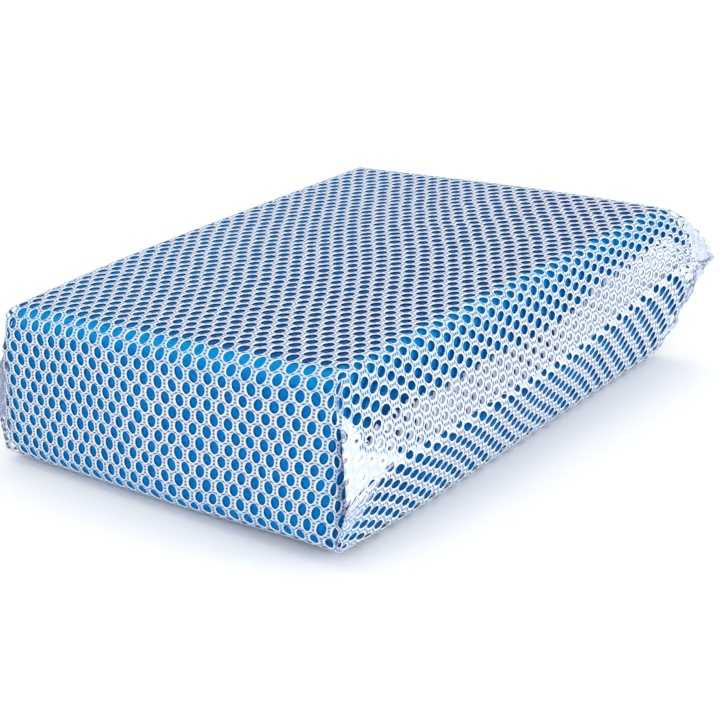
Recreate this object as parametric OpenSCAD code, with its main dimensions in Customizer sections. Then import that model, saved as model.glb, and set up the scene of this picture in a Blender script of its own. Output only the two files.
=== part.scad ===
// Cleaning sponge: a foam block in a tube of white knitted net, whose cords run round
// the block. Each end of the tube is closed by a straight seam at half height, with its
// allowance turned up inside. The flattened tube is wider than the block, so each seam
// has a spare corner at both ends: the right one stands out as an ear, and the left one
// is tucked in between the two panels. The block lies a little higher at its front.
// X runs along the seams, Y along the tube and Z up. The origin is the middle of the
// flat underside. All sizes are in millimetres.

/* [Foam block] */
// Width of the foam block, along the seams
foam_w = 117.5; // [80:0.5:200]
// Length of the foam block, along the tube
foam_l = 74; // [50:0.5:160]
// Thickness of the foam block
foam_t = 29.5; // [24:0.5:50]
// Rounding of the block's edges under the pull of the net
foam_r = 3.75; // [1.5:0.25:4.5]
// How much higher than its middle the top lies at the front end, and how much lower at the back
front_rise = 2.5; // [0:0.25:3]
// How far the front's top edge leans out at the ear
front_lean = 3.25; // [0:0.25:5]

/* [Net] */
// Thickness of the knitted net, over its cords
net_t = 0.95; // [0.75:0.05:1.3]
// Depth of the furrows between the cords
furrow = 0.35; // [0.1:0.05:0.5]
// Distance from one cord to the next, along the tube
cord_pitch = 1.47; // [1.4:0.01:4]
// Distance between the holes of one row, along the cords
hole_pitch = 4.9; // [3:0.1:9]
// Length of a hole, along the cords
hole_len = 2.5; // [1:0.1:2.8]
// Width of a hole, across the cords
hole_wid = 1.25; // [0.6:0.05:1.3]
// Clearance between the foam and the net
ease = 0.3; // [0.1:0.05:0.8]

/* [Closed ends] */
// How far each seam stands out from the end of the tube
seam_out = 4.6; // [4:0.1:9]
// Radius of the bend from the top of the tube into its end
bend_r = 4; // [3.5:0.25:6]
// Width of the seam allowance that is turned up inside
allowance = 5; // [3:0.25:7]
// How far below half height the seam's level middle runs
seam_drop = 1.25; // [0:0.25:3]
// How much lower than that it runs at its tucked corner
seam_dip = 1.25; // [0:0.25:4]
// How much higher than that it runs at the tip of its ear
ear_lift = 5.75; // [0:0.25:7]
// Share of the seam's half width that runs straight and level
level_share = 0.2; // [0.2:0.05:0.8]
// Reach of the ear, as a share of half of the side wall that it is folded from
ear_share = 0.55; // [0.4:0.05:1]
// Depth of the pocket at the tucked corner
tuck_depth = 6; // [3:0.25:10]
// Thickness of the thread that sews each seam
thread_t = 0.4; // [0.3:0.05:0.6]
// Length of one stitch of the seam
stitch = 3; // [2:0.25:5]

/* [Hidden] */

FOAM_BLUE = [0.03, 0.47, 0.80];
NET_WHITE = [0.93, 0.94, 0.97];
THREAD_WHITE = [0.98, 0.98, 0.98];

// The tube over its cords
room = ease + net_t;
tube_w = foam_w + 2 * room;
tube_t = foam_t + 2 * room;
tube_l = foam_l + 2 * room;
tube_r = foam_r + room;
mid = tube_t / 2;

// One end, as a path in the YZ plane: the flat top, the bend and the sloping panel
lip = net_t;
rise = mid - lip;
slope = atan2(rise, seam_out);
bend_cut = bend_r * tan(slope / 2);
flat_end = tube_l / 2 - bend_cut;
bend_len = bend_r * slope * PI / 180;
slope_len = norm([rise, seam_out]) - bend_cut;
path_len = flat_end + bend_len + slope_len;
y_seam = tube_l / 2 + seam_out;

ear_reach = ear_share * mid;
ear_end = tube_w / 2 + ear_reach;
level_x = level_share * tube_w / 2;

// Cords from the middle of the tube to one seam, two rings a cord
cords = max(4, round(path_len / cord_pitch));
ring_step = path_len / (2 * cords);

ARC_STEPS = 2; // flat steps in a rounded corner of a ring
FOAM_STEPS = 4; // flat steps in the rounded ends of the foam
SIDE_LEAD = 1.7; // how much sooner the foam's ends draw in at the sides than at the top
HAIR = 0.15; // clearance of the thread from the net

// Share of the way out from the end of the tube to its seam
function out_share(y) = min(1, max(0, (abs(y) - tube_l / 2) / seam_out));

// The seam dips towards the tucked corner and rises towards the ear
function seam_shift(x) =
    x < -level_x ? -seam_drop - seam_dip * (-level_x - x) / (tube_w / 2 - level_x)
    : x > level_x ? -seam_drop + ear_lift * (x - level_x) / (ear_end - level_x)
    : -seam_drop;

// A point after the front has risen and leaned out towards its ear. The underside stays flat
function settled(p) =
    let (i = p[0] / (tube_w / 2), j = p[1] / (tube_l / 2), h = p[2] / tube_t)
    [p[0], p[1] + front_lean * min(0, j) * h * (1 + i) / 2, p[2] - front_rise * j * h];

// A point given from mid height, set on the seam's course and settled
function placed(x, y, z) = settled([x, y, mid + z + seam_shift(x) * out_share(y)]);

// Half the outline at distance u along the tube: [y, half height], depth d inside
function along(u, d) =
    let (
        a = u <= flat_end ? 0 : min(slope, (u - flat_end) / bend_r * 180 / PI),
        w = max(0, u - flat_end - bend_len),
        y = min(u, flat_end) + bend_r * sin(a) + w * cos(slope),
        z = mid - bend_r * (1 - cos(a)) - w * sin(slope)
    )
    [y - d * sin(a), z - d * cos(a)];

// Quarter of a rounded rectangle, from its side to its top
function corner(w, t, r) = [
    for (i = [0:ARC_STEPS])
        let (a = 90 * i / ARC_STEPS)
        [w / 2 - r + r * cos(a), t / 2 - r + r * sin(a)]
];

// Upper half of a ring of the tube, right to left, before its end is shaped
function half_ring(d) =
    let (
        w = tube_w - 2 * d,
        t = tube_t - 2 * d,
        q = corner(w, t, tube_r - d),
        side = [w / 2, (t / 2 - tube_r + d) / 2]
    )
    concat(
        [[w / 2, lip / 2], side], q, [[level_x, t / 2], [-level_x, t / 2]],
        [for (i = [ARC_STEPS:-1:0]) [-q[i][0], q[i][1]]],
        [[-side[0], side[1]], [-w / 2, lip / 2]]
    );

// The ear: the side wall is folded out along a crease from the corner to the tip
function ear_x(s, z) = ear_reach * min(s, 1 - z / mid);

// The tuck: the side wall is pushed in, deepest half way out, shut again at the seam
function tuck_x(s, z, h) = z < h - lip / 2 ? tuck_depth * sin(180 * s) : 0;

// One ring of the outer skin at distance u (negative: towards the front)
function skin_ring(u, d) =
    let (
        p = along(abs(u), d),
        y = sign(u) * p[0],
        h = max(p[1], lip / 2),
        s = out_share(y),
        rest_flat = abs(u) <= flat_end ? mid / (mid - d) : 1,
        half = half_ring(d),
        top = [
            for (q = half)
                let (
                    z = min(q[1], h),
                    x = q[0] > 0 ? q[0] + ear_x(s, z) : q[0] + tuck_x(s, q[1], h),
                    mouth = q[0] < 0 && q[1] < h - lip / 2 && s > 0
                )
                [x, mouth ? min(z, h - min(2 * lip, h / 2)) : z]
        ]
    )
    concat(
        [for (q = top) placed(q[0], y, q[1])],
        [for (i = [len(top) - 1:-1:0]) placed(top[i][0], y, -top[i][1] * rest_flat)]
    );

// One ring of the space inside the net, without the ear and the tuck
function inner_ring(u) =
    let (
        p = along(abs(u), net_t),
        h = max(p[1], lip / 3),
        half = [for (q = half_ring(net_t)) [q[0], min(q[1], h)]],
        y = sign(u) * p[0]
    )
    concat(
        [for (q = half) placed(q[0], y, q[1])],
        [for (i = [len(half) - 1:-1:0]) placed(half[i][0], y, -half[i][1])]
    );

// A closed skin over rings of points that run anticlockwise seen from the front. The
// lower half of a ring mirrors its upper half, so that an end is closed in strips
module skin(rings) {
    n = len(rings[0]);
    top = (len(rings) - 1) * n;
    polyhedron(
        points = [for (r = rings) each r],
        faces = concat(
            [
                for (j = [0:len(rings) - 2], i = [0:n - 1])
                    let (k = (i + 1) % n, a = j * n, b = a + n)
                    each [[a + i, a + k, b + k], [a + i, b + k, b + i]]
            ],
            [
                for (i = [0:n / 2 - 2])
                    let (a = i, b = i + 1, c = n - 2 - i, d = n - 1 - i)
                    each [[a, c, b], [a, d, c], [top + a, top + b, top + c], [top + a, top + c, top + d]]
            ]
        )
    );
}

// The two ends, as the sign of their Y
FRONT = -1;
BACK = 1;

// A point of an end's upper panel, w up from its seam and d inside its face
function panel_point(end, x, w, d) = placed(
    x,
    end * (y_seam - w * cos(slope) - d * sin(slope)),
    lip + w * sin(slope) - d * cos(slope)
);

// A strip lying along the seam between two widths and two depths of an upper panel
module seam_strip(end, x0, x1, w0, w1, d0, d1) {
    xs = [x0, for (x = [-level_x, level_x]) if (x > x0 && x < x1) x, x1];
    n = len(xs);
    wa = end == FRONT ? w0 : w1;
    wb = end == FRONT ? w1 : w0;
    polyhedron(
        points = [
            for (x = xs)
                each [
                    panel_point(end, x, wa, d0), panel_point(end, x, wb, d0),
                    panel_point(end, x, wb, d1), panel_point(end, x, wa, d1)
                ]
        ],
        faces = concat(
            [[0, 2, 1], [0, 3, 2]],
            [
                for (j = [0:n - 2], i = [0:3])
                    let (k = (i + 1) % 4, a = 4 * j, b = a + 4)
                    each [[a + i, a + k, b + k], [a + i, b + k, b + i]]
            ],
            [[4 * n - 4, 4 * n - 3, 4 * n - 2], [4 * n - 4, 4 * n - 2, 4 * n - 1]]
        )
    );
}

// Where the room inside the end starts at the left, clear of the tucked corner
tuck_x0 = -tube_w / 2 + tuck_depth + 2 * net_t;
// The allowance is two layers thick and runs as wide as the room inside
allow_x0 = tuck_x0 + net_t;
allow_x1 = tube_w / 2 - 2 * net_t;
allow_in = 3 * net_t;

// The space in which the foam lies, less the folded net that stands in it
module inside() {
    deep = path_len - lip;
    us = [
        0, flat_end, for (i = [1:3]) flat_end + bend_len * i / 3,
        path_len - (slope_len + lip) / 2, deep
    ];
    n = len(us) - 1;
    difference() {
        skin([for (i = [-n:n]) inner_ring(i < 0 ? -us[-i] : us[i])]);
        for (end = [FRONT, BACK]) {
            translate([-tube_w, end == FRONT ? -y_seam - 1 : tube_l / 2, -1])
                cube([tube_w + tuck_x0, seam_out + 1, 2 * tube_t]);
            seam_strip(end, tuck_x0 - net_t, tube_w / 2 + net_t, -lip, allowance, net_t / 2, allow_in);
        }
    }
}

// The rows of holes lie in the furrows of the front's upper panel, above the allowance
module panel_holes() {
    first = ceil((allowance + hole_wid) / (2 * ring_step)) * 2;
    rows = [
        for (i = [first:2:2 * cords])
            if (i * ring_step < slope_len - hole_wid / 2) i
    ];
    across = floor((tube_w / 2 - tuck_depth - tube_r) / hole_pitch);
    for (r = [0:len(rows) - 1], k = [-across:across]) {
        x = (k + (r % 2) / 2) * hole_pitch;
        if (abs(x) < tube_w / 2 - tuck_depth - tube_r) {
            w = rows[r] * ring_step;
            hole_through(panel_point(FRONT, x, w, 0));
        }
    }
}

// One oval hole, square to the sloping panel, wider at its mouth than at the foam
module hole_through(p) {
    translate(p)
        rotate([slope, 0, 0])
            hull() {
                translate([0, 0, net_t / 2]) oval(hole_len + net_t / 2, hole_wid);
                translate([0, 0, -net_t - ease]) oval(hole_len - net_t / 4, hole_wid - net_t / 4);
            }
}

// A thin oval plate of six sides, with a corner in the middle of each long side
module oval(len, wid) {
    linear_extrude(0.01)
        polygon([for (t = [30:60:330]) [len / 2 * cos(t), wid / 2 * sin(t)]]);
}

// Rounded block, swollen at its ends until it meets the turned-in allowance
module foam_block() {
    z_top = lip + allowance * sin(slope) - allow_in * cos(slope);
    y_top = y_seam - allowance * cos(slope) - allow_in * sin(slope) - ease / sin(slope);
    core = foam_t / 2 - foam_r;
    swell = max(0.2, (y_top - foam_l / 2) / (1 - pow(z_top / core, 2)));
    tip_w = foam_w / 2 + tuck_x0 + net_t + ease;
    // y, inset of the sides and inset of the top and bottom
    steps = concat(
        [for (i = [0:FOAM_STEPS]) let (a = 90 * i / FOAM_STEPS)
            [foam_l / 2 - foam_r * (1 - sin(a)), foam_r * (1 - cos(a)), foam_r * (1 - cos(a))]],
        [for (f = [0.3, 0.6, 0.85])
            [foam_l / 2 + swell * (1 - pow(1 - f, 2)),
             foam_r + (tip_w - foam_r) * min(1, SIDE_LEAD * f), foam_r + core * f]]
    );
    color(FOAM_BLUE)
        skin(concat(
            [for (i = [len(steps) - 1:-1:0]) foam_ring(-steps[i][0], steps[i][1], steps[i][2])],
            [for (s = steps) foam_ring(s[0], s[1], s[2])]
        ));
}

// One ring of the foam, in by dx at the sides and dz at the top and bottom
function foam_ring(y, dx, dz) =
    let (
        w = foam_w / 2 - dx,
        t = foam_t / 2 - dz,
        r = min(foam_r, t * 0.9),
        q = [for (i = [0:ARC_STEPS]) let (a = 90 * i / ARC_STEPS) [w - r + r * cos(a), t - r + r * sin(a)]],
        half = concat(q, [[level_x, t], [-level_x, t]], [for (i = [ARC_STEPS:-1:0]) [-q[i][0], q[i][1]]])
    )
    concat(
        [for (h = half) placed(h[0], y, h[1])],
        [for (i = [len(half) - 1:-1:0]) placed(half[i][0], y, -half[i][1])]
    );

// Net tube with its cords as ridges, both ends folded in and sewn
module mesh_cover() {
    color(NET_WHITE)
        difference() {
            skin([
                for (i = [-2 * cords:2 * cords])
                    skin_ring(i * ring_step, i % 2 == 0 ? furrow : 0)
            ]);
            inside();
            panel_holes();
        }
}

// Row of stitches that holds the allowance together, on its inner face
module seam_thread(end) {
    w = allowance / 3;
    d = allow_in + HAIR;
    for (x = [allow_x0 + stitch / 2 : stitch : allow_x1 - stitch])
        seam_strip(end, x, x + 0.75 * stitch, w, w + thread_t, d, d + thread_t);
}

module front_seam_thread() {
    color(THREAD_WHITE) seam_thread(FRONT);
}

module back_seam_thread() {
    color(THREAD_WHITE) seam_thread(BACK);
}

foam_block();
mesh_cover();
front_seam_thread();
back_seam_thread();
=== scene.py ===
"""A cleaning sponge: a blue foam block in a sewn tube of white knitted net, lying on a pale floor.

Every point of the net is worked out from its place in the cloth: u runs along the tube from its middle,
below 0 towards the front end, and v runs round it. Past the seam, the cloth is turned in behind the upper
panel. Lengths are in metres, with +X along the seams towards the ears, +Y towards the back end and +Z up.
"""

import math

import bpy
import numpy as np
from mathutils import Matrix, Vector


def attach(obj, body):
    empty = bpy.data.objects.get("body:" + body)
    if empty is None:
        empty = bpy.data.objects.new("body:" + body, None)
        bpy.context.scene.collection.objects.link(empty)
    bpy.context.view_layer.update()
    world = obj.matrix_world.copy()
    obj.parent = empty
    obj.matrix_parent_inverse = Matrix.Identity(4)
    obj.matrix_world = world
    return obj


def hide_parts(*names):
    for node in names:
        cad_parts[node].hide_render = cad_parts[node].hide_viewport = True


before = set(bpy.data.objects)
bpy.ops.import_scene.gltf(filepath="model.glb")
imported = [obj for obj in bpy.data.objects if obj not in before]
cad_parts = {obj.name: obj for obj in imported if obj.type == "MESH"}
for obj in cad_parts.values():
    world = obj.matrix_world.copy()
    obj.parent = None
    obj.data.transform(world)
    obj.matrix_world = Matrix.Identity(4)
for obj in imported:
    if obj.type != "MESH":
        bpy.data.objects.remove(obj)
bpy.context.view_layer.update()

MM = 0.001

# The tube: half its width and length, its thickness, how far its seams stand out past the block's ends,
# the radii of its long edges and of its bends into the ends, and how far off half height its sloping
# panels meet
HALF_WIDE = 60 * MM
HALF_LONG = 38.25 * MM
THICK = 32 * MM
MID = THICK / 2
SEAM_OUT = 4.35 * MM
EDGE_R = 5 * MM
BEND_R = 4 * MM
LIP = 0.95 * MM

# The knit: how many cells lie round the tube, how many rows of them from its middle to a seam and past it,
# the stitches along a cell, the thickness of the yarn, and the size of a hole round the tube and along it
CELLS_ROUND = 61
ROWS_TO_SEAM = 36
ROWS_TURNED_IN = 5
LAST_ROW = ROWS_TO_SEAM + ROWS_TURNED_IN
STITCHES_A_CELL = 8
YARN = 0.22 * MM
HOLE_LONG = 2.35 * MM
HOLE_WIDE = 1.8 * MM
# How each hole differs from the rest in size and lean: two normal random numbers, 2 either way at most
RNG = np.random.default_rng(11)
HOLE_NOISE = RNG.standard_normal((2 * LAST_ROW + 3, CELLS_ROUND, 2)).clip(-2, 2)


def smooth(x):
    """An even step from 0 to 1 as x goes from 0 to 1: three squares less two cubes."""
    x = np.clip(x, 0, 1)
    return x * x * (3 - 2 * x)


def ramp(x, start, width):
    """An even step from 0 at the start to 1 a width later."""
    return smooth((x - start) / width)


def soft_ramp(x, width):
    """Nothing below 0 and x above it, with the corner rounded over a width."""
    return width * np.logaddexp(0, x / width)


# The power of the means that round a crease
FOLD_POWER = 8


def lesser(a, b):
    """The smaller of two shares, rounded where they meet: a power mean of a high negative power."""
    tiny = 1e-6
    a, b = np.maximum(a, tiny), np.maximum(b, tiny)
    return (a ** -FOLD_POWER + b ** -FOLD_POWER) ** (-1 / FOLD_POWER)


def greater(a, b):
    """The larger of two shares, rounded where they meet: a power mean of a high power, 1 at most."""
    return np.minimum((a ** FOLD_POWER + b ** FOLD_POWER) ** (1 / FOLD_POWER), 1)


# Paths along the tube, and the ring round it
def path_of(start, knots, step=0.02 * MM):
    """A path given by its heading at knots of its length: its points are the running sum of short steps."""
    length = np.arange(0, knots[-1][0] + step, step)
    heading = np.interp(length, *zip(*knots))
    y = start[0] + np.concatenate([[0], np.cumsum(np.cos(heading[:-1]) * step)])
    z = start[1] + np.concatenate([[0], np.cumsum(np.sin(heading[:-1]) * step)])
    return lambda a: (np.interp(a, length, y), np.interp(a, length, z), np.interp(a, length, heading))


SLOPE = math.atan2(MID - LIP, SEAM_OUT)
BEND_CUT = BEND_R * math.tan(SLOPE / 2)
BEND_FROM = HALF_LONG - BEND_CUT
BEND_TO = BEND_FROM + BEND_R * SLOPE
PATH = BEND_TO + math.hypot(MID - LIP, SEAM_OUT) - BEND_CUT
ROW = PATH / ROWS_TO_SEAM
PATH_END = PATH + (ROWS_TURNED_IN + 2) * ROW
# The bend in which the upper panel folds back at the seam, and the one in which the lower panel leans over
FOLD_R = 0.5 * MM
FOLD_FROM = PATH - FOLD_R
FOLD_TO = FOLD_FROM + math.pi * FOLD_R
LEAN_FROM = PATH - 0.5 * MM
LEAN_TO = PATH + 0.4 * MM

# The end as it would be with a bare edge, the upper panel, which folds back behind itself at the seam,
# and the lower panel, which runs on up behind it
BARE = path_of((0, MID), [(0, 0), (BEND_FROM, 0), (BEND_TO, -SLOPE), (PATH_END, -SLOPE)])
UPPER = path_of(
    (0, MID),
    [(0, 0), (BEND_FROM, 0), (BEND_TO, -SLOPE), (FOLD_FROM, -SLOPE), (FOLD_TO, -SLOPE - math.pi),
     (PATH_END, -SLOPE - math.pi)],
)
LOWER = path_of(
    (0, -MID),
    [(0, 0), (BEND_FROM, 0), (BEND_TO, SLOPE), (LEAN_FROM, SLOPE), (LEAN_TO, math.pi - SLOPE),
     (PATH_END, math.pi - SLOPE)],
)

QUARTER_ARC = EDGE_R * math.pi / 2
FLAT_TOP = 2 * (HALF_WIDE - EDGE_R)
FLAT_SIDE = 2 * (MID - EDGE_R)
ROUND = 2 * (FLAT_TOP + FLAT_SIDE) + 4 * QUARTER_ARC
CELL = ROUND / CELLS_ROUND

# The ring's nine stretches in order, each with its length, whether it is an arc, its quarter turns so
# far, and where it starts
RING = (
    (FLAT_TOP / 2, False, 0, (0, MID)),
    (QUARTER_ARC, True, 0, (HALF_WIDE - EDGE_R, MID)),
    (FLAT_SIDE, False, 1, (HALF_WIDE, MID - EDGE_R)),
    (QUARTER_ARC, True, 1, (HALF_WIDE, -(MID - EDGE_R))),
    (FLAT_TOP, False, 2, (HALF_WIDE - EDGE_R, -MID)),
    (QUARTER_ARC, True, 2, (-(HALF_WIDE - EDGE_R), -MID)),
    (FLAT_SIDE, False, 3, (-HALF_WIDE, -(MID - EDGE_R))),
    (QUARTER_ARC, True, 3, (-HALF_WIDE, MID - EDGE_R)),
    (FLAT_TOP / 2, False, 4, (-(HALF_WIDE - EDGE_R), MID)),
)
LENGTHS, IS_ARC, TURNS, STARTS = (np.array(column) for column in zip(*RING))
RING_KNOTS = np.cumsum([0, *LENGTHS])


def ring_at(v):
    """The rounded rectangle that the tube runs round, from the middle of its top to the right, as its x
    and its height from the middle: straight stretches, and arcs that turn right by the sine and one less
    the cosine."""
    v = np.mod(v, ROUND)
    part = np.clip(np.searchsorted(RING_KNOTS, v, side="right") - 1, 0, len(RING) - 1)
    along = v - RING_KNOTS[part]
    heading = -math.pi / 2 * TURNS[part]
    angle = along / EDGE_R
    forward = np.where(IS_ARC[part], EDGE_R * np.sin(angle), along)
    sideways = np.where(IS_ARC[part], EDGE_R * (1 - np.cos(angle)), 0)
    x = STARTS[part, 0] + forward * np.cos(heading) + sideways * np.sin(heading)
    z = STARTS[part, 1] + forward * np.sin(heading) - sideways * np.cos(heading)
    return x, z


# How the seams lie: how far below half height, the climb to the ear and its droop, the dip to the tuck
# and the curl at its corner, each with where it starts and over how much its start is rounded
SEAM_LOW = 1.25 * MM
CLIMB_FROM, CLIMB, CLIMB_SOFT = 8 * MM, 0.115, 5 * MM
DROOP_FROM, DROOP, DROOP_SOFT = 56 * MM, 0.2, 3 * MM
DIP_FROM, DIP, DIP_SOFT = -22 * MM, 0.03, 5 * MM
CURL_FROM, CURL, CURL_SOFT = -47 * MM, 0.3, 2 * MM

# How the sponge has settled, where each change starts and how wide it is in shares of half the width, and
# how fast the tucked corner lifts towards the front
FRONT_RISE, CORNER_RISE = 2.48 * MM, 0.25 * MM
FRONT_LEAN = 2.8 * MM
BACK_DRAW = 3.67 * MM
EAR_DROP, DROP_FROM, DROP_WIDE = 1.6 * MM, 0.8, 0.25
CORNER_LIFT, LIFT_FROM, LIFT_WIDE, LIFT_RATE = 1.1 * MM, 0.6, 0.4, 1.2
BULGE, BULGE_FROM, BULGE_WIDE = 2.5 * MM, 0.6, 0.4


def seam_course(x):
    """How far the seam lies off half height: level below it, sinking a little towards the tucked corner,
    where it curls down, and climbing towards the ear, which droops. Each change is a slope with a rounded
    start."""
    climb = CLIMB * soft_ramp(x - CLIMB_FROM, CLIMB_SOFT) - DROOP * soft_ramp(x - DROOP_FROM, DROOP_SOFT)
    dip = DIP * soft_ramp(DIP_FROM - x, DIP_SOFT)
    curl = CURL * soft_ramp(CURL_FROM - x, CURL_SOFT)
    return climb - SEAM_LOW - dip - curl


def settled(x, y, z):
    """A point after the sponge has settled: its top rises evenly towards the front but drops over the
    ear, the front leans out towards its ear, where the side bulges by half a sine wave, the back is drawn
    in at its tuck, and the underside is flat but for the tucked front corner, which lifts a little."""
    i, j, h = x / HALF_WIDE, y / HALF_LONG, z / THICK
    to_front = np.clip(-j, 0, 1) ** 2
    rise = (FRONT_RISE + CORNER_RISE * i) * j * h
    lean = FRONT_LEAN * np.minimum(0, j) * h * (1 + i) / 2
    drawn = BACK_DRAW * np.clip(j, 0, 1) ** 2 * np.clip(-i, 0, 1) ** 2
    drop = EAR_DROP * ramp(i, DROP_FROM, DROP_WIDE) * to_front * h
    lift = CORNER_LIFT * smooth(-LIFT_RATE * j) * ramp(-i, LIFT_FROM, LIFT_WIDE) * (1 - h)
    bulge = BULGE * ramp(i, BULGE_FROM, BULGE_WIDE) * to_front * np.sin(math.pi * np.clip(h, 0, 1))
    return np.stack([x + bulge, y + lean - drawn, z - rise - drop + lift], -1)


# How the ends are folded. Shares go from 0 to 1 down a side wall, or from the end of the block to the seam.
# The tucks: the share of a left wall that stays a wall, how far the rest goes in, the gap behind its mouth,
# where on the wall the mouth starts above and below the seam, how fast it opens down the wall and outwards,
# and how softly its crease begins
TUCK_FROM = 0.3
TUCK_REACH = MID
TUCK_GAP = 1.1 * MM
MOUTH_ABOVE, MOUTH_BELOW, MOUTH_WIDE, MOUTH_OUT = 0.45, 0.15, 0.15, 0.3
CREASE_SOFT = 0.12
# The ears: how far one stands out, where its upper half starts, how blunt that is, and how slim the lower is
EAR_REACH = 6.6 * MM
EAR_FROM, EAR_BLUNT, EAR_SLIM = 0.22, 1.6, 3.5
# How far the rows slide round the bends, up at the top and down at the bottom
SLIDE = 1.9 * MM
# How much shorter the turned-in allowance is beside the corners, and from where
TRIM, TRIM_FROM, TRIM_WIDE = 0.88, 48 * MM, 14 * MM
# Half the length over which a panel flattens into its seam, and the height over which the panels blend
SEAM_FLAT = MM
BLEND, LEAST_BLEND = 3 * MM, 0.02 * MM
# How much of its standing out an end loses towards the tucked corner, and from where
DRAWN_IN, DRAWN_FROM, DRAWN_WIDE = 0.5, 32 * MM, 28 * MM
# The radii in plan of the tucked corners, and the levels above and below the seam at which they turn sharp
FRONT_CORNER_R, BACK_CORNER_R, LEAST_R = 4 * MM, 3 * MM, 0.01 * MM
SHARP_ABOVE, SHARP_BELOW, SHARP_WIDE = 0.35, 0.1, 0.25
# The ears' crumples: their depth, how they fade in, two slanting waves, each by its radians a metre round
# and along the tube and the multiple of the phase it takes, and a phase for each of the three directions
CRUMPLE, CRUMPLE_OUT, CRUMPLE_DOWN = 0.3 * MM, 0.5, 0.3
CRUMPLE_WAVES = ((900, 700, 1), (1500, -1100, 2))
CRUMPLE_PHASES = (0, 2, 4)


def way_out(a):
    """How far out from the end of the block a bare edge would be at a length along the tube, 0 to 1."""
    return np.clip((BARE(a)[0] - HALF_LONG) / SEAM_OUT, 0, 1)


def wall_place(v):
    """A point's place round the tube: its x and height on the ring, how far it is down its side wall to half
    height, and how far down the part of the wall that folds, 0 to 1 each."""
    x, z = ring_at(v)
    wall = np.clip(1 - np.abs(z) / MID, 0, 1)
    folds = np.where(x < 0, np.clip((wall - TUCK_FROM) / (1 - TUCK_FROM), 0, 1), wall)
    return x, z, wall, folds


def eased(share):
    """A share with a gentle start: the root of its square and a softness's square, less the softness, and
    scaled to end at 1."""
    rise = np.sqrt(share ** 2 + CREASE_SOFT ** 2) - CREASE_SOFT
    return rise / (math.hypot(1, CREASE_SOFT) - CREASE_SOFT)


def panel_place(path, sign, a, wall, tucked):
    """Where a panel brings the net at a length along the tube: how far out, less a gap where it is
    tucked, and how high, which is the larger of the panel's drop and the wall's until the net lies flat
    in the seam."""
    y, z, heading = path(a)
    folded = smooth((a - PATH + SEAM_FLAT) / (2 * SEAM_FLAT))
    drop = np.clip(1 - sign * z / MID, 0, 1)
    z = sign * MID * (1 - greater(drop, wall)) * (1 - folded) + z * folded
    steep = np.abs(np.sin(heading)) * (1 - folded)
    return y - tucked * steep, z


def corner_rounded(x, y, z, drawn, radius):
    """A left corner in plan: what is past a quarter circle is brought to it, but not near half height."""
    level = 1 - np.abs(z) / MID
    radius = radius * (1 - ramp(level, np.where(z > 0, SHARP_ABOVE, SHARP_BELOW), SHARP_WIDE)) + LEAST_R
    past_x = np.maximum(0, -x - HALF_WIDE + radius)
    past_y = np.maximum(0, y - HALF_LONG - SEAM_OUT * (1 - drawn) * level + radius)
    pull = 1 - np.minimum(1, radius / np.maximum(np.hypot(past_x, past_y), 1e-9))
    pull = np.where(past_x > 0, pull, 0)
    return x + past_x * pull, y - past_y * pull


def net_point(u, v):
    """The net's outer face at u along the tube and v round it. The side walls are folded out to ears on
    the right and tucked in on the left, each along a crease from the corner: x moves by the smaller of
    the way out and the way down the wall, and the height by the larger."""
    x0, z0, wall, folds = wall_place(v)
    left = x0 < 0
    a = np.abs(u)
    a = a + SLIDE * z0 / MID * np.interp(a, (0, BEND_FROM, PATH), (0, 1, 0))
    kept = 1 - TRIM * ramp(np.abs(x0) + wall * MID, TRIM_FROM, TRIM_WIDE)
    a = np.where(a > PATH, PATH + (a - PATH) * kept, a)
    out = way_out(a)

    reach = np.minimum(lesser(np.where(left, eased(out), out), folds), 1)
    past = np.clip((reach - EAR_FROM) / (1 - EAR_FROM), 0, 1)
    ear = EAR_REACH * np.where(z0 > 0, 1 - (1 - past) ** EAR_BLUNT, reach ** EAR_SLIM)
    x = x0 + np.where(left, TUCK_REACH * reach, ear)

    mouth = ramp(wall, np.where(z0 > 0, MOUTH_ABOVE, MOUTH_BELOW), MOUTH_WIDE)
    tucked = np.where(left, mouth * smooth(out / MOUTH_OUT), 0) * TUCK_GAP
    above = panel_place(UPPER, 1, a, wall, tucked)
    below = panel_place(LOWER, -1, a, wall, tucked)
    share = smooth(0.5 + z0 / (BLEND * ramp(a, LEAN_FROM, MM) + LEAST_BLEND))
    y, z = (low + (high - low) * share for high, low in zip(above, below))

    drawn = DRAWN_IN * ramp(-x0, DRAWN_FROM, DRAWN_WIDE)
    y = y - np.maximum(0, y - HALF_LONG) * drawn
    x, y = corner_rounded(x, y, z, drawn, np.where(u < 0, FRONT_CORNER_R, BACK_CORNER_R))
    z = MID + z + seam_course(x) * out
    depth = CRUMPLE * np.where(left, 0, smooth(out / CRUMPLE_OUT) * smooth(wall / CRUMPLE_DOWN))
    crumple = [
        depth * sum(np.sin(v * by_v + u * by_u + phase * times) for by_v, by_u, times in CRUMPLE_WAVES)
        for phase in CRUMPLE_PHASES
    ]
    return settled(x + crumple[0], y * np.sign(u) + crumple[1], z + crumple[2])


# Where the net is folded up. An ear is shut from these shares down its wall, above and below the seam, from
# a little behind its crease, and from a little way out from the block
SHUT_ABOVE, SHUT_BELOW, SHUT_WIDE = 0.05, 0.35, 0.08
SHUT_BEHIND, SHUT_CREASE, SHUT_OUT, SHUT_OUT_WIDE = 0.15, 0.1, 0.05, 0.15
# The knot of folds beside a tuck's mouth: its length and the share of it that fades, and how far out it
# starts at the corner, how much further out at its end, and over how much
KNOT, KNOT_FADE = 15 * MM, 0.2
KNOT_OUT, KNOT_SLANT, KNOT_WIDE = 0.5, 0.45, 0.1
# How far the net is folded up in a tuck and in an ear, as gathered says it, and how far past the seam it
# starts to be and over how much
TUCK_LAYERS, EAR_LAYERS = 1.7, 2.0
TURNED_FROM, TURNED_WIDE = 0.3 * ROW, 0.4 * ROW


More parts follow.
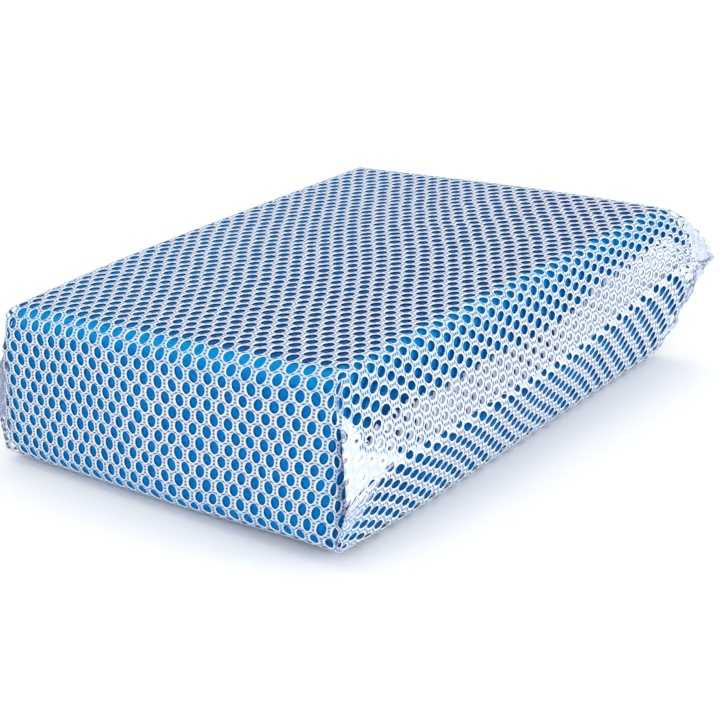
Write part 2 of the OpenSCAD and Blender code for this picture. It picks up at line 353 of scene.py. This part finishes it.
def gathered(u, v):
    """Where the net is folded up in layers and its holes are drawn in: 0 for none, 1 past the seam, and
    up to 2 in the ears, in the tucks and in the knot of folds beside a tuck's mouth."""
    x0, z0, _, folds = wall_place(v)
    out = way_out(np.abs(u))
    right = x0 > 0
    shut_from = np.where(right, np.where(z0 > 0, SHUT_ABOVE, SHUT_BELOW), 0)
    creased = ramp(out - folds, -SHUT_BEHIND * right, SHUT_CREASE) * ramp(folds, shut_from, SHUT_WIDE)
    creased = creased * ramp(out, SHUT_OUT, SHUT_OUT_WIDE)
    beside = (x0 + HALF_WIDE) / KNOT
    knot = ramp(out - KNOT_OUT, KNOT_SLANT * beside, KNOT_WIDE) * smooth((1 - beside) / KNOT_FADE)
    knot = knot * (z0 > 0)
    turned_in = ramp(np.abs(u) - PATH, TURNED_FROM, TURNED_WIDE)
    layers = np.where(right, EAR_LAYERS, TUCK_LAYERS)
    return np.maximum(turned_in, np.maximum(layers * creased, TUCK_LAYERS * knot))


def net_frame(u, v, step=0.05 * MM):
    """The net's outer face and its normal, the cross product of its two slopes."""
    point = net_point(u, v)
    du = net_point(u + step, v) - net_point(u - step, v)
    dv = net_point(u, v + step) - net_point(u, v - step)
    normal = np.cross(dv, du)
    size = np.linalg.norm(normal, axis=-1, keepdims=True)
    return point, normal / np.maximum(size, 1e-12)


# The knit. The waves that pull it off its lattice along and round the tube, each by its height in
# millimetres, how often it comes in the way round, its radians a metre along the tube and its phase
PULL_ALONG = ((0.22, 3, 110, 0), (0.16, 7, -190, 1), (0.1, 17, 330, 0))
PULL_ROUND = ((0.3, 2, 95, 2), (0.2, 5, -240, 0), (0.12, 13, 410, 0))
# A cell is a long hexagon round one hole, in twelfths of a cell's length and halves of a row
CELL_STEPS, ROW_STEPS = 12, 2
OUTLINE = np.array([
    (4, 0), (3, 1), (2, 2), (0, 2), (-2, 2), (-3, 1),
    (-4, 0), (-3, -1), (-2, -2), (0, -2), (2, -2), (3, -1),
])
SIDES = len(OUTLINE)
# A ring's share of the way from its hole to the outline, and its height there in halves of the yarn: each
# hole has a raised rim, and a furrow, of the height last given, runs along the outline
RINGS = ((0.55, 1.0), (0.16, 0.72), (0.0, 0.0), (0.16, -0.72))
FURROW = 0.5
# How uneven the holes are in size and lean, how pointed they are, and how much the lower panels' holes lean
HOLE_UNEVEN, HOLE_LEAN, HOLE_POINT, PANEL_LEAN = 0.035, 0.12, 0.1, 0.3
# How much a hole opens on the flat top, and shuts in one layer more, in the layers past that, and over
# the allowance
OPEN_ON_TOP, SHUT_BY_ONE, SHUT_BY_MORE, SHUT_BY_SEWING = 0.07, 0.15, 0.8, 0.16
# Where the net's painted blue light, which stands for the foam's light showing through the yarn, lies over
# the long edges and over the bends into the ends, each as the start and the steepness of an even step
CAST_AT_EDGE, CAST_PAST_EDGE, CAST_AT_BEND, CAST_PAST_BEND = 0.55, 1.1, 1.5, 1.5


def pulled(u, v):
    """Where a stitch really lies: sums of slow sine waves pull the rows and columns a little off their
    lattice."""
    turn = 2 * math.pi * v / ROUND
    along, around = (
        sum(high * np.sin(turns * turn + u * slant + phase) for high, turns, slant, phase in waves)
        for waves in (PULL_ALONG, PULL_ROUND)
    )
    return u + along * MM, v + around * MM


def over_bend(u, v):
    """1 where the net is stretched over a rounded edge of the block, fading to 0 on the flat faces."""
    x0, z0 = ring_at(v)
    edge = np.minimum(np.abs(x0) - HALF_WIDE, np.abs(z0) - MID) / EDGE_R + 1
    end = np.abs((np.abs(u) - BEND_FROM) / (BEND_TO - BEND_FROM) - 0.5)
    over_edge = smooth(CAST_AT_EDGE + CAST_PAST_EDGE * edge)
    return np.maximum(over_edge, smooth(CAST_AT_BEND - CAST_PAST_BEND * end))


def holes(rows, cols):
    """The holes' corners from their centres, along the tube and round it: slightly pointed ovals, each
    with its own size and lean, opened or drawn in by where it lies."""
    v = (cols + np.mod(rows, 2) / 2) * CELL
    z0 = ring_at(v)[1]
    far = np.abs(rows) * ROW
    own_size, own_lean = HOLE_NOISE[rows + HOLE_NOISE.shape[0] // 2, cols].T
    on_top = smooth((np.abs(z0) - MID + EDGE_R) / EDGE_R) * (far < BEND_FROM)
    layers = gathered(rows * ROW, v)
    over_allowance = (z0 > 0) * smooth((np.abs(rows) - ROWS_TO_SEAM + ROWS_TURNED_IN + 1) / 2)
    size = (1 + HOLE_UNEVEN * own_size) * (1 + OPEN_ON_TOP * on_top)
    size = size * (1 - SHUT_BY_ONE * np.minimum(layers, 1) - SHUT_BY_MORE * np.maximum(layers - 1, 0))
    size = size * (1 - SHUT_BY_SEWING * over_allowance)
    lean = HOLE_LEAN * own_lean + PANEL_LEAN * ((z0 <= 0) & (far > BEND_FROM)) * np.sign(rows)
    angle = 2 * math.pi * np.arange(SIDES) / SIDES
    hole_u = HOLE_WIDE / 2 * np.sin(angle) * (1 - HOLE_POINT * np.cos(angle) ** 2) * size[:, None]
    hole_v = HOLE_LONG / 2 * np.cos(angle) * size[:, None] + lean[:, None] * hole_u
    return hole_u, hole_v


def strip(inner, outer):
    """The corners of the quads between two rings: a ring's corner, the next one round, and the two across."""
    return np.stack([inner, np.roll(inner, -1, axis=1), np.roll(outer, -1, axis=1), outer], -1)


def knit(first, last):
    """The net's cells from the first row to the last, as points, quads and two maps of their corners: the
    place along the yarn with the way from hole to furrow, and how far the net is folded up with how far
    it is over a bend. Outlines are shared between cells, top and bottom, and rims close the two cut
    edges."""
    rows, cols = np.meshgrid(np.arange(first, last + 1), np.arange(CELLS_ROUND), indexing="ij")
    rows, cols = rows.ravel(), cols.ravel()
    n = len(rows)
    odd = np.mod(rows, 2)
    step_u = ROW_STEPS * rows[:, None] + OUTLINE[:, 1]
    step_v = CELL_STEPS * cols[:, None] + CELL_STEPS // 2 * odd[:, None] + OUTLINE[:, 0]
    steps_round = CELL_STEPS * CELLS_ROUND
    key = (step_u - step_u.min()) * steps_round + np.mod(step_v, steps_round)
    kept, shared = np.unique(key, return_inverse=True)
    shared = shared.reshape(n, SIDES)
    m = len(kept)
    outline_u = (kept // steps_round + step_u.min()) * ROW / ROW_STEPS
    outline_v = (kept % steps_round) * CELL / CELL_STEPS

    centre_u, centre_v = rows[:, None] * ROW, (cols + odd / 2)[:, None] * CELL
    edge_u, edge_v = OUTLINE[:, 1] * ROW / ROW_STEPS, OUTLINE[:, 0] * CELL / CELL_STEPS
    hole_u, hole_v = holes(rows, cols)
    ring_u = [centre_u + hole_u + (edge_u - hole_u) * share for share, _ in RINGS]
    ring_v = [centre_v + hole_v + (edge_v - hole_v) * share for share, _ in RINGS]

    us = np.concatenate([outline_u, outline_u] + [a.ravel() for a in ring_u])
    vs = np.concatenate([outline_v, outline_v] + [a.ravel() for a in ring_v])
    face = [np.full(m, FURROW), np.full(m, -FURROW)] + [np.full(n * SIDES, high) for _, high in RINGS]
    point, normal = net_frame(*pulled(us, vs))
    points = point + normal * ((np.concatenate(face) - 1) * YARN / 2)[:, None]

    # The rings in order, from the outline's upper face through the hole to its lower face
    own = 2 * m + np.arange(len(RINGS) * n * SIDES).reshape(len(RINGS), n, SIDES)
    number = [shared, *own, shared + m]
    corner_u = [centre_u + edge_u, *ring_u, centre_u + edge_u]
    corner_v = [centre_v + edge_v, *ring_v, centre_v + edge_v]
    way = [np.full((n, SIDES), share) for share in (1, *(share for share, _ in RINGS), 1)]
    quads, stitches, folds = [], [], []
    for j in range(len(number) - 1):
        u, v, rise = (strip(ring[j], ring[j + 1]) for ring in (corner_u, corner_v, way))
        quads.append(strip(number[j], number[j + 1]).reshape(-1, 4))
        stitches.append(np.stack([v / MM, rise], -1).reshape(-1, 2))
        folds.append(np.stack([gathered(u, v), over_bend(u, v)], -1).reshape(-1, 2))

    # The sides of the outlines that no other cell shares, row by row, at each cut edge
    cut_sides = ((last, range(0, 6)), (last - 1, (2, 3)), (first, range(6, 12)), (first + 1, (8, 9)))
    for row, sides in cut_sides:
        cells = np.nonzero(rows == row)[0]
        for k in sides:
            a, b = shared[cells, k], shared[cells, (k + 1) % SIDES]
            quads.append(np.stack([b, a, a + m, b + m], -1))
            stitches.append(np.zeros((4 * len(cells), 2)))
            folds.append(np.zeros((4 * len(cells), 2)))
    maps = {"stitches": np.concatenate(stitches), "folds": np.concatenate(folds)}
    return points, np.concatenate(quads), maps


# Meshes
def mesh_object(name, points, quads, maps=None, smooth_faces=True):
    """A mesh object from arrays of points and quads, with its UV maps by name."""
    mesh = bpy.data.meshes.new(name)
    mesh.vertices.add(len(points))
    mesh.vertices.foreach_set("co", np.ascontiguousarray(points, np.float32).ravel())
    mesh.loops.add(quads.size)
    mesh.loops.foreach_set("vertex_index", np.ascontiguousarray(quads, np.int32).ravel())
    mesh.polygons.add(len(quads))
    mesh.polygons.foreach_set("loop_start", np.arange(0, quads.size, 4, dtype=np.int32))
    mesh.polygons.foreach_set("use_smooth", np.full(len(quads), smooth_faces))
    mesh.update(calc_edges=True)
    for map_name, values in (maps or {}).items():
        layer = mesh.uv_layers.new(name=map_name)
        layer.data.foreach_set("uv", np.ascontiguousarray(values, np.float32).ravel())
    mesh.validate()
    made = bpy.data.objects.new(name, mesh)
    bpy.context.scene.collection.objects.link(made)
    return made


# The foam: half its sizes, its edges' radius, how square its upright corners are in plan and its ends'
# edges in side view, and how far from half height the corners are square and over how much that fades
FOAM_HALF = np.array((59.6, 37.9, 15.65)) * MM
FOAM_R = 4.2 * MM
SQUARE_CORNER, SQUARE_LIP = 6, 3
SQUARE_TO, SQUARE_FADE = 13 * MM, 3 * MM
# The room that its swollen ends leave behind the panels, and the extra room for the allowance, round its
# height
ROOM = 0.7 * MM
FOLD_ROOM, FOLD_ROOM_AT, FOLD_ROOM_WIDE = 2.6 * MM, 2 * MM, 5 * MM
# Where the swelling starts on the left, and how far past the block it would end on the right
SWELL_FROM, SWELL_WIDE = -46 * MM, 12 * MM
SWELL_PAST, SWELL_FADE = 3 * MM, 4 * MM
# Corners that agree to this are one corner
SAME_PLACE = 0.001 * MM


def box_faces(half, cell):
    """A box as six grids of quads, with the points on its edges shared."""
    counts = np.ceil(2 * half / cell).astype(int)
    points, quads, base = [], [], 0
    for axis in range(3):
        p, q = (axis + 1) % 3, (axis + 2) % 3
        for sign in (-1, 1):
            along_p, along_q = (np.linspace(-1, 1, counts[k] + 1) for k in (p, q))
            grid_p, grid_q = np.meshgrid(along_p, along_q, indexing="ij")
            grid = np.zeros(grid_p.shape + (3,))
            grid[..., axis] = sign * half[axis]
            grid[..., p], grid[..., q] = grid_p * half[p], grid_q * half[q]
            number = base + np.arange(grid_p.size).reshape(grid_p.shape)
            square = [number[:-1, :-1], number[1:, :-1], number[1:, 1:], number[:-1, 1:]]
            quads.append(np.stack(square if sign > 0 else square[::-1], -1).reshape(-1, 4))
            points.append(grid.reshape(-1, 3))
            base += grid_p.size
    points, quads = np.concatenate(points), np.concatenate(quads)
    whole = np.round(points / SAME_PLACE).astype(np.int64)
    _, first, back = np.unique(whole, axis=0, return_index=True, return_inverse=True)
    return points[first], back.ravel()[quads]


def squarer(pair, power):
    """How much further out a point of a circle goes, as a share, where the circle turns into a squarer
    oval: the length of a pair over its power mean, less 1."""
    pair = np.abs(pair)
    oval = (pair ** power).sum(1) ** (1 / power)
    return np.maximum(np.hypot(*pair.T) / np.maximum(oval, 1e-9), 1)[:, None] - 1


def foam_shell(cell=1.2 * MM):
    """A rounded block: each point of a box is drawn to the rounding radius round an inner box, and out
    again a little where an edge is squarer. Its ends swell towards the sloping panels, less where the
    allowance lies. Its map holds how far each corner faces up and how far back it is."""
    points, quads = box_faces(FOAM_HALF, cell)
    inner = FOAM_HALF - FOAM_R
    core = np.clip(points, -inner, inner)
    away = points - core
    away = away / np.maximum(np.linalg.norm(away, axis=1, keepdims=True), 1e-9) * FOAM_R
    up = away[:, 2] / FOAM_R
    middle = smooth((SQUARE_TO - np.abs(points[:, 2:])) / SQUARE_FADE)
    corner, lip = squarer(away[:, :2], SQUARE_CORNER), squarer(away[:, 1:], SQUARE_LIP)
    away[:, 1:] *= 1 + lip * (1 - np.abs(away[:, :1]) / FOAM_R)
    away[:, :2] *= 1 + corner * middle

    x, y, z = (core + away).T
    half_x, half_y, _ = FOAM_HALF
    end = smooth((np.abs(y) - half_y + FOAM_R) / FOAM_R)
    panel = HALF_LONG + SEAM_OUT * (1 - np.abs(z) / MID)
    room = ROOM + FOLD_ROOM * smooth(1 - np.abs(z - FOLD_ROOM_AT) / FOLD_ROOM_WIDE)
    side = ramp(x, SWELL_FROM, SWELL_WIDE) * smooth((half_x + SWELL_PAST - x) / SWELL_FADE)
    y = y + np.sign(y) * np.maximum(0, panel - room - half_y) * end * side
    height = MID + z + seam_course(x) * np.clip((np.abs(y) - half_y) / SEAM_OUT, 0, 1)
    facing = np.stack([up, y / HALF_LONG], -1)
    return settled(x, y, height), quads, {"facing": facing[quads.ravel()]}


# Materials
class Wire:
    """A shader socket that takes part in sums: an expression on wires adds its Math nodes."""

    def __init__(self, finish, socket):
        self.finish, self.socket = finish, socket

    def _sum(self, operation, *values):
        return self.finish.node("ShaderNodeMath", {"operation": operation}, *values)

    def __add__(self, other):
        return self._sum("ADD", self, other)

    def __radd__(self, other):
        return self._sum("ADD", other, self)

    def __sub__(self, other):
        return self._sum("SUBTRACT", self, other)

    def __rsub__(self, other):
        return self._sum("SUBTRACT", other, self)

    def __mul__(self, other):
        return self._sum("MULTIPLY", self, other)

    def __rmul__(self, other):
        return self._sum("MULTIPLY", other, self)

    def sine(self):
        return self._sum("SINE", self)

    def step(self, low, high):
        """An even step from 0 at low to 1 at high."""
        settings = {"interpolation_type": "SMOOTHSTEP"}
        return self.finish.node("ShaderNodeMapRange", settings, self, low, high, 0.0, 1.0)


class Finish:
    """One procedural material, built node by node."""

    def __init__(self, name, roughness, **fixed):
        self.material = bpy.data.materials.new(name)
        self.material.use_nodes = True
        self.nodes = self.material.node_tree.nodes
        self.links = self.material.node_tree.links
        self.shader = self.nodes["Principled BSDF"]
        self.shader.inputs["Roughness"].default_value = roughness
        for socket, value in fixed.items():
            self.shader.inputs[socket.replace("_", " ")].default_value = value

    def node(self, kind, settings=None, *values, output=0, **named):
        """Any node: its type and settings first, then its sockets' values or wires, in order or by name."""
        made = self.nodes.new(kind)
        for key, value in (settings or {}).items():
            setattr(made, key, value)
        if kind == "ShaderNodeMix":
            sockets = [s for s in made.inputs if s.enabled]
            outputs = [s for s in made.outputs if s.enabled]
        else:
            sockets, outputs = list(made.inputs), made.outputs
        by_name = [(made.inputs[key], value) for key, value in named.items()]
        for socket, value in [*zip(sockets, values), *by_name]:
            if isinstance(value, Wire):
                self.links.new(value.socket, socket)
            else:
                socket.default_value = value
        return Wire(self, outputs[output])

    def map_of(self, name):
        """The two numbers of a UV map."""
        split = self.node("ShaderNodeSeparateXYZ", None, self.node("ShaderNodeUVMap", {"uv_map": name}))
        return [Wire(self, split.socket.node.outputs[k]) for k in range(2)]

    def place(self):
        """Where a point is, in the object's own coordinates."""
        return self.node("ShaderNodeTexCoord", output="Object")

    def mix(self, mask, low, high):
        """A colour between two colours, each a wire or its red, green and blue."""
        low, high = ((*colour, 1) if isinstance(colour, tuple) else colour for colour in (low, high))
        return self.node("ShaderNodeMix", {"data_type": "RGBA"}, mask, low, high)

    def noise(self, where, scale, detail=3.0):
        """Smooth noise of about one blob in each 1/scale metres."""
        sockets = {"Vector": where, "Scale": scale, "Detail": detail, "Roughness": 0.6}
        return self.node("ShaderNodeTexNoise", **sockets)

    def feed(self, socket, wire):
        """Feeds a wire to one of the surface's own sockets."""
        self.links.new(wire.socket, self.shader.inputs[socket])

    def bump(self, height, depth, strength):
        """Feeds a height, worth a depth in metres, to the surface's normal."""
        sockets = {"Strength": strength, "Distance": depth, "Height": height}
        self.feed("Normal", self.node("ShaderNodeBump", **sockets))


def net_finish():
    """White knitted yarn with fibres. Painted shade darkens the yarn towards each furrow, leaving a bright
    rim round each hole, and paints a row of dark dots between stitches along each furrow. Over a bend, where
    the net is stretched, a painted blue cast stands for the foam's light showing through the yarn. Folded up,
    it has a painted glow, an emission for the light that its layers pass on, and painted shade in dark spots
    where their holes cross. In the ears, packed tightest, it is greyer in blotches and glows less."""
    # Its emission is a painted glow, fed only where the net is folded
    f = Finish("white_knitted_net", 0.6, Sheen_Weight=0.15, Specular_IOR_Level=0.2, Emission_Strength=0.2)
    along, way = f.map_of("stitches")
    folded, bent = f.map_of("folds")
    where = f.place()
    turn = 2 * math.pi * STITCHES_A_CELL / (CELL / MM)
    uneven = f.noise(where, 1500.0, 1.0)
    fibre = f.noise(where, 6000.0, 2.0)
    cloud = f.noise(where, 160.0, 2.0)
    # Painted shade: dark dots between stitches along each furrow, where the pinholes would show shadow
    shaded_gaps = (along * turn + uneven * 2.5).sine().step(-0.3, 0.5) * way.step(0.5, 0.8)
    twist = (along * (turn * 1.5) + way * 4.0).sine()
    packed = folded.step(1.75, 2.0)
    # Painted shade: dark blue-grey spots round the holes of folded layers, where their holes cross
    crossing_shade = (1 - way.step(0.02, 0.3)) * folded * uneven.step(0.35, 0.6) * 0.8

    white = f.mix(cloud.step(0.35, 0.7), (0.92, 0.96, 0.99), (0.87, 0.95, 0.99))
    # Painted shade: the yarn darkens towards each furrow, leaving a bright rim round each hole
    white = f.mix(way.step(0.35, 0.75), white, (0.43, 0.55, 0.77))
    white = f.mix(crossing_shade, white, (0.30, 0.36, 0.62))
    white = f.mix(packed * (0.5 + cloud * 0.6), white, (0.52, 0.57, 0.76))
    white = f.mix(fibre.step(0.35, 0.6), (0.62, 0.70, 0.84), white)
    # Painted light: a blue cast stands for the foam's light showing through the yarn where it is stretched
    # over a bend, darker towards each furrow
    stretched = f.mix(way.step(0.1, 0.6), (0.78, 0.89, 0.97), (0.36, 0.60, 0.82))
    white = f.mix(bent * (1 - folded.step(0.3, 1.0)) * 0.7, white, stretched)
    # The colour of the painted shade in the dots between stitches, paler where the net is folded
    dark = f.mix(folded, (0.07, 0.10, 0.24), (0.42, 0.46, 0.66))
    f.feed("Base Color", f.mix(shaded_gaps * (1 - folded.step(1.0, 1.7) * 0.8) * 0.95, white, dark))
    # Painted glow: an emission stands for the light that folded layers pass on, less at the crossing spots
    # and in the packed ears
    glow = folded * (1 - crossing_shade) * (1 - packed * 0.8)
    f.feed("Emission Color", f.mix(glow, (0.0, 0.0, 0.0), (0.86, 0.87, 0.93)))
    f.bump(twist * 0.4 + fibre * 0.8 - shaded_gaps * 1.5, 0.1 * MM, 0.8)
    return f.material


def foam_finish():
    """Blue open-cell foam: fine pale and dark pores in a matt blue. Painted shade makes it deeper under the
    flat top, where the net lies close, most of all towards the front, and a painted highlight makes it
    brightest along its upper edges."""
    f = Finish("blue_foam", 0.9, Specular_IOR_Level=0.05)
    up, back = f.map_of("facing")
    where = f.place()
    pores = f.node("ShaderNodeTexVoronoi", {"feature": "F1"}, Vector=where, Scale=1700.0)
    grain = f.noise(where, 2600.0)
    cloud = f.noise(where, 120.0, 2.0)
    blue = f.mix(cloud.step(0.3, 0.7), (0.0, 0.13, 0.43), (0.0, 0.16, 0.49))
    # Painted shade under the flat top, darker towards the front
    painted_top_shade = f.mix(back.step(-0.8, 1.0), (0.008, 0.035, 0.19), (0.0, 0.12, 0.35))
    # Painted highlight: brighter blue along the upper rounded edges
    edge = f.mix(up.step(0.2, 0.6), blue, (0.0, 0.24, 0.58))
    blue = f.mix(up.step(0.86, 0.985), edge, painted_top_shade)
    blue = f.mix(pores.step(0.15, 0.6) * 0.25, blue, (0.0, 0.28, 0.70))
    f.feed("Base Color", f.mix(grain.step(0.5, 0.7) * 0.35, blue, (0.0, 0.07, 0.34)))
    f.bump(pores.step(0.1, 0.55) + grain * 0.6, 0.2 * MM, 0.9)
    return f.material


def thread_finish():
    """White sewing thread with a fine twist."""
    f = Finish("white_thread", 0.5, Sheen_Weight=0.2)
    twist = f.noise(f.place(), 4000.0, 2.0)
    f.feed("Base Color", f.mix(twist, (0.62, 0.64, 0.70), (0.86, 0.87, 0.90)))
    f.bump(twist, 0.05 * MM, 0.6)
    return f.material


def floor_finish():
    """A plain pale floor."""
    f = Finish("pale_floor", 0.9, Specular_IOR_Level=0.1)
    f.feed("Base Color", f.mix(f.noise(f.place(), 3.0), (0.94, 0.94, 0.94), (0.96, 0.96, 0.96)))
    return f.material


NET, FOAM, THREAD, FLOOR = net_finish(), foam_finish(), thread_finish(), floor_finish()

# Pieces
foam = mesh_object("foam", *foam_shell())
foam.data.materials.append(FOAM)
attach(foam, "root")
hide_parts("foam_block")

# The net's bands, each by its first and last row: five, so that none is too heavy a mesh
BANDS = {
    "net_front_end": (-LAST_ROW, -26),
    "net_front": (-25, -9),
    "net_middle": (-8, 8),
    "net_back": (9, 25),
    "net_back_end": (26, LAST_ROW),
}
# The share of the flat net that its yarn covers
COVERED = 1 - HOLE_LONG * HOLE_WIDE * math.pi / 4 / (CELL * ROW)
for name, (first, last) in BANDS.items():
    band = mesh_object(name, *knit(first, last))
    band.data.materials.append(NET)
    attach(band, "root")
    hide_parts("mesh_cover")
    length = (last - first + 1) * ROW
    ROUND * length * COVERED

for node in ("front_seam_thread", "back_seam_thread"):
    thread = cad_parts[node]
    thread.data.materials.clear()
    thread.data.materials.append(THREAD)

# Floor
FLOOR_HALF = 3.0
floor_corners = FLOOR_HALF * np.array([(-1, -1, 0), (1, -1, 0), (1, 1, 0), (-1, 1, 0)])
floor = mesh_object("floor", floor_corners, np.array([[0, 1, 2, 3]]), smooth_faces=False)
floor.data.materials.append(FLOOR)

# Camera, at the photograph's angle: back points from the target to the camera, and across to its right
TARGET = Vector((-2.35, -3.91, 10.65)) * MM
DISTANCE = 374.7 * MM
AZIMUTH, ELEVATION, ROLL = math.radians(-56.24), math.radians(21.46), math.radians(1.06)
FOCAL_MM, SENSOR_MM = 96.7, 36
level = Vector((math.cos(AZIMUTH), math.sin(AZIMUTH), 0))
back = Vector((
    math.sin(AZIMUTH) * math.cos(ELEVATION),
    -math.cos(AZIMUTH) * math.cos(ELEVATION),
    math.sin(ELEVATION),
))
across = level * math.cos(ROLL) + back.cross(level) * math.sin(ROLL)
camera = bpy.data.objects.new("camera", bpy.data.cameras.new("camera"))
camera.data.lens = FOCAL_MM
camera.data.sensor_width = SENSOR_MM
camera.data.clip_start = 10 * MM
camera.location = TARGET + back * DISTANCE
camera.rotation_mode = "QUATERNION"
camera.rotation_quaternion = Matrix((across, back.cross(across), back)).transposed().to_quaternion()
bpy.context.scene.collection.objects.link(camera)
bpy.context.scene.camera = camera

# Light: where the soft lights look, and how bright the white sky is
LIT_POINT = Vector((0, 0, 15 * MM))
SKY_STRENGTH = 0.8


def panel_light(name, place, size, power):
    """A square soft light that looks at the sponge."""
    light = bpy.data.objects.new(name, bpy.data.lights.new(name, "AREA"))
    light.data.size = size
    light.data.energy = power
    light.location = place
    light.rotation_mode = "QUATERNION"
    light.rotation_quaternion = (LIT_POINT - Vector(place)).to_track_quat("-Z", "Y")
    bpy.context.scene.collection.objects.link(light)


panel_light("left_softbox", (-0.9, -0.1, 0.45), 0.7, 3.0)
panel_light("front_softbox", (0.2, -0.9, 0.22), 0.7, 5.4)
panel_light("top_softbox", (0.1, 0.35, 1.0), 0.9, 3.0)

world = bpy.data.worlds.new("studio")
world.use_nodes = True
sky = world.node_tree.nodes["Background"]
sky.inputs["Color"].default_value = (1, 1, 1, 1)
sky.inputs["Strength"].default_value = SKY_STRENGTH
bpy.context.scene.world = world
bpy.context.scene.view_settings.view_transform = "Standard"
